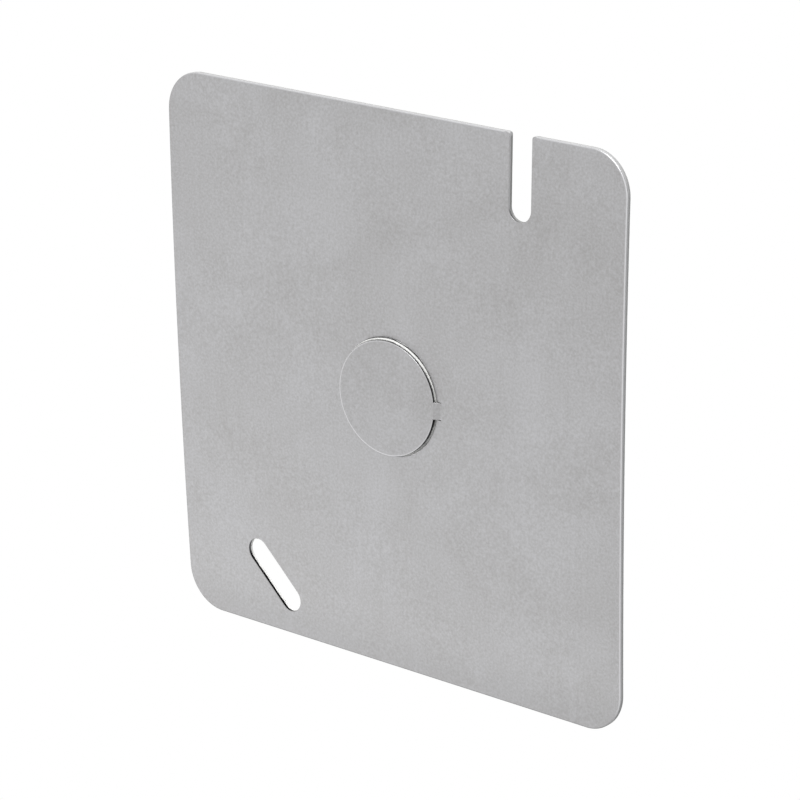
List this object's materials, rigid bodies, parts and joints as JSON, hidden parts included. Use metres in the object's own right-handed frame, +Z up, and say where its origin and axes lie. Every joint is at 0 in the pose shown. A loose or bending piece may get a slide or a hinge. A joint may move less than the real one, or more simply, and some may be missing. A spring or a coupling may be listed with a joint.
{
  "type": "electrical box cover with knockout",
  "caption": "Flat square galvanised steel electrical box cover with a tie-held round knockout, an open screw slot and a closed diagonal screw slot.",
  "frame": {"origin": "on the cover's back face, at the centre of the knockout hole, which lies 0.4 mm below the centre of the square", "axes": "+Z up, the front of the cover faces -Y, +X to the right seen from the front; the back face is the plane Y = 0"},
  "size_m": [0.1016, 0.0026, 0.1016],
  "materials": {
    "galvanised_sheet": "hot-dip galvanised mild steel sheet, dull pale grey, satin",
    "sheared_sheet": "the same galvanised sheet, stretched and sheared"
  },
  "bodies": {
    "cover": {"cover_plate": "galvanised_sheet", "knockout_tie": "sheared_sheet"},
    "slug": {"knockout_slug": "galvanised_sheet"}
  },
  "joints": [
    {"name": "knockout_hinge", "type": "hinge", "parent": "cover", "child": "slug", "pos_m": [0.01069, -0.001, -0.00032], "axis": [0.0297, 0, 0.9996], "range_deg": [0, 90], "deforming": ["knockout_tie"]}
  ]
}
